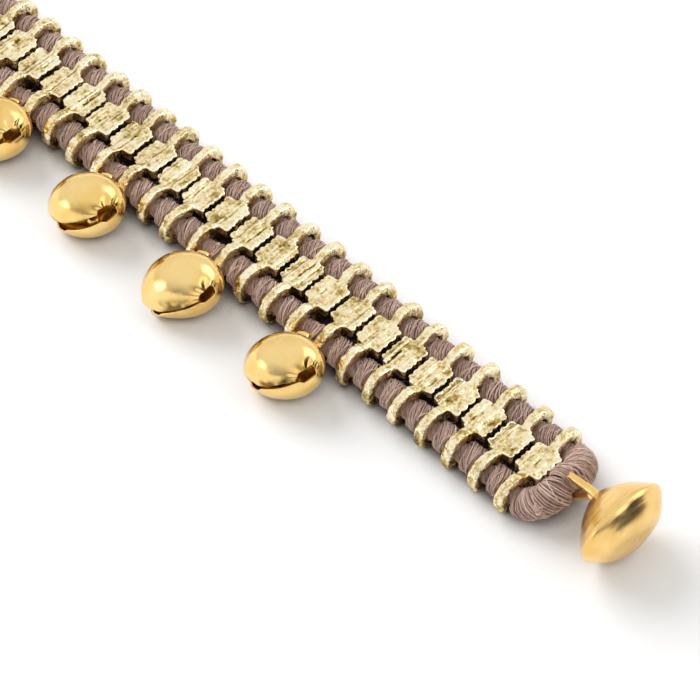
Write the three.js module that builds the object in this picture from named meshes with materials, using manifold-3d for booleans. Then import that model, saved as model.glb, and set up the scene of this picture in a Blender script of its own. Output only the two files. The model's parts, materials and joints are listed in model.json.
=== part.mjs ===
// A bell bracelet: a flat band of cast brass links threaded on two wrapped cotton cords, with jingle
// bells tied along one edge and a brass button that fastens into a cord loop. Millimetres, +Z up.
// The band lies straight with its pads up. +X runs to the button end, and the bells hang off the -Y edge.
// The origin is under the middle of the whole piece, on the surface that it lies on.

import * as THREE from 'three';
import { mergeVertices } from 'three/addons/utils/BufferGeometryUtils.js';
import Module from 'manifold-3d';

const wasm = await Module();
wasm.setup();

// Links
const linkCount = 32;
const padWidth = 4.35;
const padGap = 0.45;
const padLength = 4.6;
const padThickness = 1.7;
const padTeeth = 4;
const padToothDepth = 0.28;
const shoulderWidth = 2.7;
const shoulderLength = 0.5;
const strapWidth = 1.4;
const strapThickness = 0.95;
const strapDrop = 0.3;
const ringWire = 1.1;

// Cords
const cordSpacing = 9.5;
const cordRadius = 2;
const cordWaistRadius = 1.15;
const cordSwellLength = 0.6;
const cordStub = 0.35;
const turnCordRadius = 2.2;
const turnStraight = 0.4;
const turnDepth = 3.4;
const turnRise = 2.6;
const loopCordRadius = 1.5;
const loopStraight = 9;

// Bells
const bellCount = 5;
const linksBeforeBell = 8;
const linksPerBell = 4;
const bellHalfLength = 5.75;
const bellHalfWidth = 4.6;
const bellDomeHeight = 4.5;
const bellMouthHeight = 3.9;
const bellWall = 0.35;
const slitWidth = 0.7;
const slitEndRadius = 0.9;
const slitReach = 62;
const slitRoll = -30;
const bellYaw = 22;
const pelletRadius = 1.3;

// Bell eyes and ties
const eyeHoleRadius = 0.6;
const eyeWall = 0.35;
const eyeStrapWidth = 0.8;
const eyeFootWidth = 3;
const eyeFootHeight = 0.15;
const eyeAngle = 29;
const threadRadius = 0.2;
const tieWrapStart = 70;
const tieWrapEnd = 320;

// Button
const buttonRadius = 6.75;
const buttonBack = 4.6;
const buttonFront = 3.4;
const buttonSeatRadius = 1.4;
const buttonBulge = 0.4;
const buttonRimRadius = 0.75;
const buttonFaceRadius = 4.2;
const buttonFaceHeight = 2.6;
const buttonReach = 9.4;
const buttonYaw = -3;
const buttonTilt = 9;
const shankRadius = 0.5;
const shankSpread = 0.58;
const shankStub = 0.6;

// Clearances
const cordClearance = 0.3;
const seatGap = 0.3;
const pelletGap = 0.35;
const restLift = 0.05;

// Facets
const ringSides = 10;
const boreSides = 8;
const cordSides = 8;
const threadSides = 6;
const bellSides = 16;
const bellSteps = 8;
const turnSteps = 14;
const tieWrapSteps = 5;
const tieSteps = 24;
const shankSteps = 14;

// Worked-out sizes
const radians = THREE.MathUtils.degToRad;
const linkPitch = padWidth + padGap;
const boreRadius = (cordWaistRadius + cordClearance) / Math.cos(Math.PI / boreSides);
const ringRadius = boreRadius + ringWire;
const cordHeight = ringRadius * Math.cos(Math.PI / ringSides);
const padTop = 2 * cordHeight;
const cordSide = cordSpacing / 2;
const linkX = (index) => ((linkCount - 1) / 2 - index) * linkPitch;
const cordEndX = linkX(0) + strapWidth / 2 + cordStub;
const turnStartX = cordEndX + seatGap;
const eyeRadius = eyeHoleRadius + eyeWall;
const eyeRise = bellDomeHeight + seatGap + eyeFootHeight + eyeRadius;
const shankLoopRadius = cordWaistRadius + cordClearance + shankRadius;
const tiedGaps = Array.from({ length: bellCount }, (_, n) => linksBeforeBell + n * linksPerBell);

// Materials
const metal = (color, roughness) => new THREE.MeshStandardMaterial({ color, roughness, metalness: 1 });
const castBrass = () => metal('#c8b473', 0.42);
const giltBrass = () => metal('#e0a53c', 0.18);
const satinBrass = () => metal('#cda04b', 0.35);
const cottonThread = () => new THREE.MeshStandardMaterial({ color: '#8c7369', roughness: 0.95 });

// Turns an outline drawn in Y and Z, and extruded, to lie across the band.
const acrossBand = new THREE.Matrix4().makeBasis(
  new THREE.Vector3(0, 1, 0),
  new THREE.Vector3(0, 0, 1),
  new THREE.Vector3(1, 0, 0),
);

function toSolid(geometry) {
  const bare = geometry.clone();
  bare.deleteAttribute('normal');
  bare.deleteAttribute('uv');
  const merged = mergeVertices(bare, 1e-4);
  const corners = merged.index.array;
  const faces = [];
  for (let i = 0; i < corners.length; i += 3) {
    const [a, b, c] = corners.slice(i, i + 3);
    if (a !== b && b !== c && c !== a) {
      faces.push(a, b, c);
    }
  }
  return new wasm.Manifold(new wasm.Mesh({
    numProp: 3,
    vertProperties: new Float32Array(merged.attributes.position.array),
    triVerts: new Uint32Array(faces),
  }));
}

function toGeometry(solid) {
  const { vertProperties, triVerts } = solid.getMesh();
  const geometry = new THREE.BufferGeometry();
  geometry.setAttribute('position', new THREE.BufferAttribute(new Float32Array(vertProperties), 3));
  geometry.setIndex(new THREE.BufferAttribute(new Uint32Array(triVerts), 1));
  geometry.computeVertexNormals();
  return geometry;
}

function piece(name, solid, material) {
  const mesh = new THREE.Mesh(toGeometry(solid), material);
  mesh.name = name;
  return mesh;
}

// Corners of a regular outline with a flat side at the bottom, in order from the bottom.
function flatBottomCorners(x, y, radius, sides) {
  return Array.from({ length: sides }, (_, i) => {
    const angle = 2 * Math.PI * (i + 0.5) / sides - Math.PI / 2;
    return new THREE.Vector2(x + radius * Math.cos(angle), y + radius * Math.sin(angle));
  });
}

function extrudeAcross(outline, width) {
  const slab = new THREE.ExtrudeGeometry(outline, { depth: width, bevelEnabled: false, curveSegments: 6 });
  return toSolid(slab.translate(0, 0, -width / 2).applyMatrix4(acrossBand));
}

// A profile of radius and height turned about Z.
function turned(points, sides) {
  return toSolid(new THREE.LatheGeometry(points, sides, Math.PI / sides).rotateX(Math.PI / 2));
}

// A round tube through the points, with a radius at each. A closed tube joins its last ring to its first.
function tube(points, radii, sides, closed) {
  const count = points.length;
  const at = (i) => points[closed ? (i + count) % count : THREE.MathUtils.clamp(i, 0, count - 1)];
  const tangents = points.map((_, i) => at(i + 1).clone().sub(at(i - 1)).normalize());
  const square = (v, i) => v.addScaledVector(tangents[i], -v.dot(tangents[i])).normalize();
  const side = square(new THREE.Vector3(0.2, 0.3, 1), 0);
  const sideways = tangents.map((_, i) => square(side, i).clone());
  const back = square(side, 0);
  const slip = Math.atan2(tangents[0].dot(back.clone().cross(sideways[0])), back.dot(sideways[0]));
  const positions = [];
  const faces = [];
  points.forEach((point, i) => {
    const other = tangents[i].clone().cross(sideways[i]);
    for (let k = 0; k < sides; k++) {
      const angle = 2 * Math.PI * k / sides + (closed ? slip * i / count : 0);
      const spot = point.clone().addScaledVector(sideways[i], radii[i] * Math.cos(angle));
      positions.push(...spot.addScaledVector(other, radii[i] * Math.sin(angle)));
    }
  });
  for (let i = 0; i < (closed ? count : count - 1); i++) {
    const here = i * sides;
    const ahead = ((i + 1) % count) * sides;
    for (let k = 0; k < sides; k++) {
      const next = (k + 1) % sides;
      faces.push(here + k, here + next, ahead + k, ahead + k, here + next, ahead + next);
    }
  }
  const last = (count - 1) * sides;
  for (let k = 1; k < sides - 1 && !closed; k++) {
    faces.push(0, k + 1, k, last, last + k, last + k + 1);
  }
  const geometry = new THREE.BufferGeometry();
  geometry.setAttribute('position', new THREE.Float32BufferAttribute(positions, 3));
  geometry.setIndex(faces);
  return toSolid(geometry);
}

// Cast link: a toothed pad on top, and at each end a strap that runs out and closes in a ring round a cord.
function padOutline() {
  const end = padLength / 2;
  const corners = [];
  for (let i = 0; i <= 2 * padTeeth; i++) {
    const inset = i % 2 ? 0 : padToothDepth;
    corners.push(new THREE.Vector2(padWidth / 2 - inset, padLength * i / (2 * padTeeth) - end));
  }
  corners.push(new THREE.Vector2(shoulderWidth / 2, end));
  corners.push(new THREE.Vector2(strapWidth / 2, end + shoulderLength));
  const opposite = corners.map((corner) => corner.clone().negate());
  return new THREE.Shape([...corners, ...opposite]);
}

function strapOutline() {
  const corners = flatBottomCorners(cordSide, cordHeight, ringRadius, ringSides);
  const root = padLength / 2 - shoulderLength;
  const top = padTop - strapDrop;
  const firstPastTop = ringSides / 2 + 1;
  const rootCorners = [new THREE.Vector2(root, top), new THREE.Vector2(root, top - strapThickness)];
  corners.splice(firstPastTop, 0, ...rootCorners);
  const outline = new THREE.Shape(corners);
  outline.holes.push(new THREE.Path(flatBottomCorners(cordSide, cordHeight, boreRadius, boreSides)));
  return outline;
}

function linkSolid() {
  const pad = new THREE.ExtrudeGeometry(padOutline(), { depth: padThickness, bevelEnabled: false });
  const strap = extrudeAcross(strapOutline(), strapWidth);
  return toSolid(pad.translate(0, 0, padTop - padThickness)).add(strap).add(strap.rotate([0, 0, 180]));
}

// Wrapped cord: it swells between the links, and is drawn in where a ring grips it or a bell is tied to it.
function cordSolid(drawnIn) {
  const profile = [new THREE.Vector2(0, -cordEndX)];
  const grip = strapWidth / 2 + cordClearance;
  for (let index = linkCount - 1; index >= 0; index--) {
    const from = index === linkCount - 1 ? -cordEndX : linkX(index) - grip;
    const to = index === 0 ? cordEndX : linkX(index) + grip;
    profile.push(new THREE.Vector2(cordWaistRadius, from), new THREE.Vector2(cordWaistRadius, to));
    if (index > 0 && !drawnIn.includes(index)) {
      profile.push(new THREE.Vector2(cordRadius, to + cordSwellLength));
      profile.push(new THREE.Vector2(cordRadius, linkX(index - 1) - grip - cordSwellLength));
    }
  }
  profile.push(new THREE.Vector2(0, cordEndX));
  return turned(profile, cordSides);
}

function cord(name, side, drawnIn) {
  const mesh = piece(name, cordSolid(drawnIn), cottonThread());
  mesh.rotation.y = Math.PI / 2;
  mesh.position.set(0, side * cordSide, cordHeight);
  return mesh;
}

// A cord that runs straight out of the band, turns round in half an oval and runs back. It rises to the
// middle of the turn, where what is looped round it draws it in.
function turnSolid(straight, depth, rise, radius, waist) {
  const grip = (shankRadius + cordClearance) / (cordSide - shankLoopRadius * depth / cordSide);
  const swell = grip + cordSwellLength / cordSide;
  const sideSteps = turnSteps / 2 - 2;
  const half = [[grip, waist]];
  for (let i = 0; i <= sideSteps; i++) {
    half.push([swell + (Math.PI / 2 - swell) * i / sideSteps, radius]);
  }
  const otherHalf = half.map(([angle, size]) => [-angle, size]).reverse();
  const points = [];
  const radii = [];
  for (const [angle, size] of [...otherHalf, [0, waist], ...half]) {
    const reach = Math.cos(angle);
    const side = cordSide * Math.sin(angle);
    points.push(new THREE.Vector3(straight + depth * reach, side, rise * reach ** 2));
    radii.push(size);
  }
  for (const share of [0.5, 0]) {
    points.unshift(new THREE.Vector3(straight * share, -cordSide, 0));
    points.push(new THREE.Vector3(straight * share, cordSide, 0));
    radii.unshift(radius);
    radii.push(radius);
  }
  return tube(points, radii, cordSides, false);
}

function buttonEndTurn() {
  const solid = turnSolid(turnStraight, turnDepth, turnRise, turnCordRadius, cordWaistRadius);
  const mesh = piece('button_end_turn', solid, cottonThread());
  mesh.position.set(turnStartX, 0, cordHeight);
  return mesh;
}

function buttonLoop() {
  const solid = turnSolid(loopStraight, cordSide, 0, loopCordRadius, loopCordRadius);
  const mesh = piece('button_loop', solid, cottonThread());
  mesh.position.set(-turnStartX, 0, cordHeight);
  mesh.rotation.z = Math.PI;
  return mesh;
}

// A bell in its own frame has its eye at +Z, its mouth at -Z, and its slit along X before the roll. The
// closing of the mouth has pressed it flatter across the slit.
function bellSolid(inset) {
  const profile = Array.from({ length: bellSteps + 1 }, (_, i) => {
    const angle = Math.PI * (i / bellSteps - 0.5);
    const height = angle < 0 ? bellMouthHeight : bellDomeHeight;
    const radius = i % bellSteps ? (bellHalfLength - inset) * Math.cos(angle) : 0;
    return new THREE.Vector2(radius, (height - inset) * Math.sin(angle));
  });
  return turned(profile, bellSides).scale([1, (bellHalfWidth - inset) / (bellHalfLength - inset), 1]);
}

function bellShellSolid() {
  const reach = radians(slitReach);
  const slitEnd = bellHalfLength * Math.sin(reach);
  const slitTop = -bellMouthHeight * Math.cos(reach);
  const slit = new THREE.BoxGeometry(2 * slitEnd, slitWidth, bellMouthHeight);
  slit.translate(0, 0, slitTop - bellMouthHeight / 2);
  let shell = bellSolid(0).subtract(bellSolid(bellWall)).subtract(toSolid(slit));
  for (const side of [-1, 1]) {
    const hole = new THREE.CylinderGeometry(slitEndRadius, slitEndRadius, 8 * bellWall, boreSides);
    hole.rotateX(Math.PI / 2).rotateY(-side * reach).translate(side * slitEnd, 0, slitTop);
    shell = shell.subtract(toSolid(hole));
  }
  return shell.rotate([0, 0, slitRoll]);
}

// Strap eye: a foot that seats on the dome and a rounded loop above it, with its hole along X.
function bellEyeSolid() {
  const foot = bellDomeHeight + seatGap;
  const outline = new THREE.Shape();
  outline.moveTo(-eyeFootWidth / 2, foot);
  outline.lineTo(eyeFootWidth / 2, foot);
  outline.lineTo(eyeFootWidth / 2, foot + eyeFootHeight);
  outline.lineTo(eyeRadius, eyeRise);
  outline.absarc(0, eyeRise, eyeRadius, 0, Math.PI, false);
  outline.lineTo(-eyeFootWidth / 2, foot + eyeFootHeight);
  outline.holes.push(new THREE.Path(flatBottomCorners(0, eyeRise, eyeHoleRadius, boreSides)));
  return extrudeAcross(outline, eyeStrapWidth);
}

// Where the eye of a bell sits against the cord, from the cord's own centre line. The yawed strap leans in.
const eyeLean = Math.sin(radians(bellYaw)) * eyeStrapWidth / 2;
const eyeReach = cordWaistRadius + cordClearance + eyeRadius + eyeLean;
const eyeY = -eyeReach * Math.cos(radians(eyeAngle));
const eyeZ = eyeReach * Math.sin(radians(eyeAngle));

// The bell lies on the surface with its mouth tipped up, so that its eye reaches down to the cord.
function bellPitch() {
  const roll = radians(slitRoll);
  const side = Math.hypot(bellHalfLength * Math.sin(roll), bellHalfWidth * Math.cos(roll));
  let pitch = 0;
  for (let i = 0; i < 8; i++) {
    const half = Math.hypot(side * Math.cos(pitch), bellDomeHeight * Math.sin(pitch));
    pitch = Math.asin((half + restLift - cordHeight - eyeZ) / eyeRise);
  }
  return pitch;
}

function bell(number, gap) {
  const name = `bell_${number}`;
  const yaw = radians(bellYaw);
  const pitch = bellPitch();
  const along = new THREE.Vector3(Math.cos(yaw), Math.sin(yaw), 0);
  const toEye = new THREE.Vector3(-Math.sin(yaw), Math.cos(yaw), 0).multiplyScalar(Math.cos(pitch));
  toEye.z = -Math.sin(pitch);
  const body = new THREE.Group();
  const basis = new THREE.Matrix4().makeBasis(along, toEye.clone().cross(along), toEye);
  body.quaternion.setFromRotationMatrix(basis);
  body.position.set(0, eyeY, eyeZ).addScaledVector(toEye, -eyeRise);
  const ball = toSolid(new THREE.IcosahedronGeometry(pelletRadius, 1));
  const pellet = piece(`${name}_pellet`, ball, satinBrass());
  pellet.position.y = bellHalfWidth - bellWall - pelletGap - pelletRadius;
  pellet.position.applyAxisAngle(new THREE.Vector3(0, 0, 1), radians(slitRoll));
  body.add(piece(`${name}_shell`, bellShellSolid(), giltBrass()));
  body.add(piece(`${name}_eye`, bellEyeSolid(), giltBrass()));
  body.add(pellet);
  const place = new THREE.Group();
  place.position.set((linkX(gap - 1) + linkX(gap)) / 2, -cordSide, cordHeight);
  place.add(body, piece(`${name}_tie`, tieSolid(along), cottonThread()));
  return place;
}

// Thread tie: it passes through the eye of the bell, drops past the eye on one side, and goes once round
// the cord.
function tieSolid(along) {
  const throughEye = eyeStrapWidth / 2 + seatGap + threadRadius;
  const wrap = cordWaistRadius + cordClearance + threadRadius;
  const points = [1, 0.5, -0.5, -1].map((share) => {
    return new THREE.Vector3(0, eyeY, eyeZ).addScaledVector(along, share * throughEye);
  });
  const drop = points[3].clone();
  drop.z -= eyeRadius + threadRadius;
  points.push(drop);
  for (let i = 0; i <= tieWrapSteps; i++) {
    const angle = tieWrapStart + (tieWrapEnd - tieWrapStart) * i / tieWrapSteps;
    const round = radians(180 - eyeAngle + angle);
    const x = -throughEye * Math.cos(radians(angle / 2));
    points.push(new THREE.Vector3(x, wrap * Math.cos(round), wrap * Math.sin(round)));
  }
  const route = new THREE.CatmullRomCurve3(points, true).getPoints(tieSteps).slice(0, -1);
  return tube(route, route.map(() => threadRadius), threadSides, true);
}

// Button: a bulged back, a rounded rim and a blunt cone in front, turned about X. It stands on its rim,
// tipped a little forward, with a wire shank round the middle of the cord's turn.
function buttonHeadSolid() {
  const rim = buttonRadius - buttonRimRadius;
  const seat = new THREE.Vector2(buttonSeatRadius, -buttonBack);
  const backRim = new THREE.Vector2(rim, -buttonRimRadius);
  const slope = backRim.clone().sub(seat).normalize();
  const swelling = new THREE.Vector2(slope.y, -slope.x).multiplyScalar(buttonBulge);
  const bulge = seat.clone().lerp(backRim, 0.5).add(swelling);
  const profile = [new THREE.Vector2(0, -buttonBack), seat, bulge, backRim];
  profile.push(new THREE.Vector2(buttonRadius, 0), new THREE.Vector2(rim, buttonRimRadius));
  profile.push(new THREE.Vector2(buttonFaceRadius, buttonFaceHeight), new THREE.Vector2(0, buttonFront));
  return turned(profile, bellSides);
}

function button() {
  const tilt = radians(buttonTilt);
  const pivotHeight = cordHeight + turnRise;
  const centre = new THREE.Vector3(buttonReach, 0, buttonRadius * Math.cos(tilt) + restLift - pivotHeight);
  const outward = new THREE.Vector3(Math.cos(tilt), 0, -Math.sin(tilt));
  const upright = new THREE.Vector3(Math.sin(tilt), 0, Math.cos(tilt));
  const leg = (side, stub) => {
    const end = centre.clone().addScaledVector(outward, -(buttonBack + seatGap + stub));
    return end.addScaledVector(upright, side * shankSpread);
  };
  const tangent = (side) => {
    const { x, z } = leg(side, shankStub);
    return Math.atan2(z, x) + side * Math.acos(shankLoopRadius / Math.hypot(x, z));
  };
  const from = tangent(1);
  const to = tangent(-1) + 2 * Math.PI;
  const route = [leg(1, 0), leg(1, shankStub)];
  for (let i = 0; i <= shankSteps; i++) {
    const angle = from + (to - from) * i / shankSteps;
    route.push(new THREE.Vector3(Math.cos(angle), 0, Math.sin(angle)).multiplyScalar(shankLoopRadius));
  }
  route.push(leg(-1, shankStub), leg(-1, 0));
  const wire = tube(route, route.map(() => shankRadius), cordSides, false);
  const head = piece('button_head', buttonHeadSolid(), satinBrass());
  head.rotation.y = Math.PI / 2 + tilt;
  head.position.copy(centre);
  const group = new THREE.Group();
  group.add(head, piece('button_shank', wire, satinBrass()));
  group.position.set(turnStartX + turnStraight + turnDepth, 0, pivotHeight);
  group.rotation.z = radians(buttonYaw);
  return group;
}

const bracelet = new THREE.Group();
const link = linkSolid();
for (let index = 0; index < linkCount; index++) {
  const mesh = piece(`link_${String(index + 1).padStart(2, '0')}`, link, castBrass());
  mesh.position.x = linkX(index);
  bracelet.add(mesh);
}
bracelet.add(cord('near_cord', -1, tiedGaps), cord('far_cord', 1, []));
bracelet.add(buttonEndTurn(), buttonLoop(), button());
tiedGaps.forEach((gap, index) => bracelet.add(bell(index + 1, gap)));

const box = new THREE.Box3().setFromObject(bracelet, true);
const middle = box.getCenter(new THREE.Vector3());
bracelet.position.set(-middle.x, -middle.y, -box.min.z);

export default bracelet;
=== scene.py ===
import json
import math

import bmesh
import bpy
import numpy as np
from mathutils import Matrix, Vector, noise

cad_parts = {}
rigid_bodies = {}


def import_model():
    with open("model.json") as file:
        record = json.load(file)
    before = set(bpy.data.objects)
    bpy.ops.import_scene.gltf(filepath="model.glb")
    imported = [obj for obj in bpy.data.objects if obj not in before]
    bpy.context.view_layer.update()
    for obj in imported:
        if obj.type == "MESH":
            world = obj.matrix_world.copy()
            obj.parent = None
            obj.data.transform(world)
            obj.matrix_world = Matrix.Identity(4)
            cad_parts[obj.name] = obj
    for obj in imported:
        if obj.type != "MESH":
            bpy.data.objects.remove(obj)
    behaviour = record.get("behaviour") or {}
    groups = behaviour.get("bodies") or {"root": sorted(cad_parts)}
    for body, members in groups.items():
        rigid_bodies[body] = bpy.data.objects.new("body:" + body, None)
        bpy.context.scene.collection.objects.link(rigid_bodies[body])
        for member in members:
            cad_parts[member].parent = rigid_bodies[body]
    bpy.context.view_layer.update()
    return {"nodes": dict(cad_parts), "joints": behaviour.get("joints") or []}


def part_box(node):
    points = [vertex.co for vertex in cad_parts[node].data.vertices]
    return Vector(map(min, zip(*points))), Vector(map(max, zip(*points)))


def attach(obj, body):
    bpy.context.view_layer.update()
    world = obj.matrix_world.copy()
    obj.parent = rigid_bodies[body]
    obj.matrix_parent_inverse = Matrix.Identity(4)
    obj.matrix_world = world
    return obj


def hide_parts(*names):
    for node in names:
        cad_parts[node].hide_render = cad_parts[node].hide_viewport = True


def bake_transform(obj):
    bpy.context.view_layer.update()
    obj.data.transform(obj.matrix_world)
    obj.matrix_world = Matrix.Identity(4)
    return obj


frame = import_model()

mm = 0.001                                   # lengths below are millimetres, meshes are made in metres
scene = bpy.context.scene
joints = {joint["name"]: joint for joint in frame["joints"]}


def nodeCorners(node):
    low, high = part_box(node)
    return np.array(low) / mm, np.array(high) / mm


def nodeMiddle(node):
    return sum(nodeCorners(node)) / 2


def jointPoint(name):
    return np.array(joints[name]["pos_m"]) / mm


def jointAxis(name):
    return np.array(joints[name]["axis"])


def unit(vector):
    return np.asarray(vector, float) / np.linalg.norm(vector)


def smoothStep(low, high, value):
    share = np.clip((value - low) / (high - low), 0, 1)
    return share * share * (3 - 2 * share)


def fullTurn(count):                         # angles once round, evenly spaced
    return np.linspace(0, 2 * math.pi, count, endpoint=False)


def swept(first, second, angles):            # directions at these angles from the first towards the second
    angles = angles[..., None]
    return first * np.cos(angles) + second * np.sin(angles)


# places that many pieces share, taken from the frame
linkNames = sorted(name for name in frame["nodes"] if name.startswith("link_"))
linkX = [nodeMiddle(name)[0] for name in linkNames]
linkPitch = linkX[0] - linkX[1]
bandY = nodeMiddle(linkNames[0])[1]
padTop = nodeCorners(linkNames[0])[1][2]
cordZ = nodeMiddle("near_cord")[2]
cordY = {"near_cord": nodeMiddle("near_cord")[1], "far_cord": nodeMiddle("far_cord")[1]}
cordSide = (cordY["far_cord"] - cordY["near_cord"]) / 2
bellNumbers = [n for n in range(1, 9) if f"bell_{n}_swing" in joints]
bellLinks = {joints[f"bell_{n}_swing"]["parent"] for n in bellNumbers}


def gapNearest(x):                           # the gap between two links whose middle is nearest
    return min(range(len(linkX)), key=lambda i: abs(linkX[i] - x - linkPitch / 2))


tiedGaps = {gapNearest(jointPoint(f"bell_{n}_swing")[0]) for n in bellNumbers}
print("frame read:", len(linkNames), "links,", len(bellNumbers), "bells")


# finishes
class Wire:                                  # a node's output that can be used in sums
    def __init__(self, tree, socket=None):
        self.tree = tree
        self.socket = socket

    def node(self, kind, settings=None, inputs=None, output=0):
        made = self.tree.nodes.new(kind)
        for key, value in (settings or {}).items():
            if key == "stops":
                ramp = made.color_ramp
                while len(ramp.elements) < len(value):
                    ramp.elements.new(0.5)
                for element, (place, colour) in zip(ramp.elements, value):
                    element.position = place
                    element.color = colour
            else:
                setattr(made, key, value)
        for key, value in (inputs or {}).items():
            if isinstance(value, Wire):
                self.tree.links.new(value.socket, made.inputs[key])
            else:
                made.inputs[key].default_value = value
        return Wire(self.tree, made.outputs[output] if made.outputs else None)

    def sum(self, operation, first, second):
        return self.node("ShaderNodeMath", {"operation": operation}, {0: first, 1: second})

    def __add__(self, other):
        return self.sum("ADD", self, other)

    def __radd__(self, other):
        return self.sum("ADD", other, self)

    def __sub__(self, other):
        return self.sum("SUBTRACT", self, other)

    def __rsub__(self, other):
        return self.sum("SUBTRACT", other, self)

    def __mul__(self, other):
        return self.sum("MULTIPLY", self, other)

    def __rmul__(self, other):
        return self.sum("MULTIPLY", other, self)

    def attribute(self, name):               # what the mesh holds at each point
        return self.node("ShaderNodeAttribute", {"attribute_name": name}, output="Fac")

    def place(self):                         # in metres
        return self.node("ShaderNodeTexCoord", output="Object")

    def ray(self, kind):                     # 1 for rays of this kind, 0 for others
        return self.node("ShaderNodeLightPath", output=f"Is {kind} Ray")

    def noise(self, scale, detail=2.0, stretch=(1, 1, 1), roughness=0.5):
        placed = self.node("ShaderNodeMapping", None, {"Vector": self.place(), "Scale": stretch})
        settings = {"noise_dimensions": "3D"}
        values = {"Vector": placed, "Scale": scale, "Detail": detail, "Roughness": roughness}
        return self.node("ShaderNodeTexNoise", settings, values)

    def ranged(self, fromLow, fromHigh, toLow, toHigh):
        values = {"Value": self, "From Min": fromLow, "From Max": fromHigh}
        values.update({"To Min": toLow, "To Max": toHigh})
        return self.node("ShaderNodeMapRange", {"interpolation_type": "SMOOTHSTEP"}, values)

    def blend(self, first, second):          # colour from first to second as this value goes from 0 to 1
        settings = {"data_type": "RGBA", "clamp_factor": True}
        return self.node("ShaderNodeMix", settings, {0: self, 6: first, 7: second}, 2)


def newFinish(name):
    material = bpy.data.materials.new(name)
    material.use_nodes = True
    material.node_tree.nodes.clear()
    return material, Wire(material.node_tree)


def closeFinish(wire, values):
    shader = wire.node("ShaderNodeBsdfPrincipled", None, values)
    wire.node("ShaderNodeOutputMaterial", None, {"Surface": shader})


def bumped(wire, height, strength, distance):
    values = {"Height": height, "Strength": strength, "Distance": distance * mm}
    return wire.node("ShaderNodeBump", None, values)


# cream is a painted highlight for the ridges, olive and dark are painted shade for the hollows
castLook = {                                 # colours, and how fine the mottle is
    "cream": (1.0, 0.92, 0.68, 1), "tan": (0.93, 0.77, 0.45, 1), "olive": (0.50, 0.35, 0.10, 1),
    "dark": (0.11, 0.065, 0.016, 1), "patches": 420, "lumps": 900, "strips": 1000, "grain": 2900,
}


def castBrass():                             # pale on the ridges as painted highlight, olive to brown in the hollows and low down as painted shade
    material, wire = newFinish("castBrass")
    hollow = wire.attribute("hollow")
    patches = wire.noise(castLook["patches"], detail=3)
    lumps = wire.noise(castLook["lumps"])
    strips = wire.noise(castLook["strips"], stretch=(2.1, 0.45, 1.0))
    grain = wire.noise(castLook["grain"])
    height = wire.node("ShaderNodeSeparateXYZ", None, {0: wire.place()}, "Z")
    paintedShadeAndDirt = height.ranged(1.2 * mm, 4.6 * mm, 0.34, 0)   # painted shade, darker down beside the cords
    mottle = (patches - 0.5) + (strips - 0.5) * 0.5 + (lumps - 0.5) * 0.5 + (grain - 0.5) * 0.55
    depth = hollow + mottle + paintedShadeAndDirt + 0.03
    stops = [(0.24, castLook["cream"]), (0.5, castLook["tan"])]
    stops += [(0.74, castLook["olive"]), (0.95, castLook["dark"])]
    colour = wire.node("ShaderNodeValToRGB", {"stops": stops}, {"Fac": depth})
    rough = patches * 0.16 + grain * 0.10 + depth * 0.10 + 0.05
    relief = bumped(wire, lumps * 0.5 + strips * 0.24 + grain * 0.26, 1.0, 0.42)
    closeFinish(wire, {"Base Color": colour, "Metallic": 1.0, "Roughness": rough, "Normal": relief})
    return material


# the darkest colour is a painted dark reflection along the bells' slits
giltLook = {
    "bright": (0.96, 0.70, 0.29, 1), "deep": (0.90, 0.58, 0.17, 1), "paintedReflection": (0.20, 0.13, 0.035, 1),
    "cloud": 260, "haze": 1500, "scratches": 900,
}


def giltBrass():                             # bells and their eyes, with a painted dark reflection where the tone says so
    material, wire = newFinish("giltBrass")
    cloud = wire.noise(giltLook["cloud"], detail=3)
    haze = wire.noise(giltLook["haze"], detail=3)
    scratches = wire.noise(giltLook["scratches"], stretch=(0.6, 4.0, 5.0))
    tone = wire.attribute("tone")
    tint = cloud.ranged(0.35, 0.7, 0, 1).blend(giltLook["bright"], giltLook["deep"])
    colour = tone.blend(tint, giltLook["paintedReflection"])
    rough = haze.ranged(0.35, 0.75, 0.12, 0.22) + scratches * 0.05
    relief = bumped(wire, scratches * 0.6 + haze * 0.4, 0.12, 0.05)
    closeFinish(wire, {"Base Color": colour, "Metallic": 1.0, "Roughness": rough, "Normal": relief})
    return material


# the third colour is painted shade in the hollows and dirt in the pits
satinLook = {
    "bright": (0.96, 0.67, 0.28, 1), "deep": (0.88, 0.56, 0.18, 1), "paintedShadeAndDirt": (0.36, 0.22, 0.05, 1),
    "cloud": 240, "brushed": 1500, "pits": 2600,
}


def satinBrass():                            # brushed, with painted shade in its hollows and dirt in its pits
    material, wire = newFinish("satinBrass")
    hollow = wire.attribute("hollow")
    cloud = wire.noise(satinLook["cloud"], detail=3)
    brushed = wire.noise(satinLook["brushed"], detail=3, stretch=(3.0, 0.4, 0.4))
    pits = wire.noise(satinLook["pits"])
    tint = cloud.ranged(0.3, 0.7, 0, 1).blend(satinLook["bright"], satinLook["deep"])
    # painted shade in the hollows, dirt in the pits
    paintedShadeAndDirt = (hollow * 0.8 + pits.ranged(0.68, 0.8, 0, 0.5)).ranged(0.5, 1.0, 0, 0.7)
    colour = paintedShadeAndDirt.blend(tint, satinLook["paintedShadeAndDirt"])
    rough = brushed * 0.14 + cloud * 0.1 + 0.12
    relief = bumped(wire, brushed * 0.7 + pits * 0.3, 0.3, 0.06)
    closeFinish(wire, {"Base Color": colour, "Metallic": 1.0, "Roughness": rough, "Normal": relief})
    return material


threadLook = {
    "dark": (0.22, 0.125, 0.098, 1), "mid": (0.56, 0.375, 0.30, 1), "pale": (0.83, 0.65, 0.55, 1),
    "patches": 500, "fibres": 6500,
}


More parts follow.
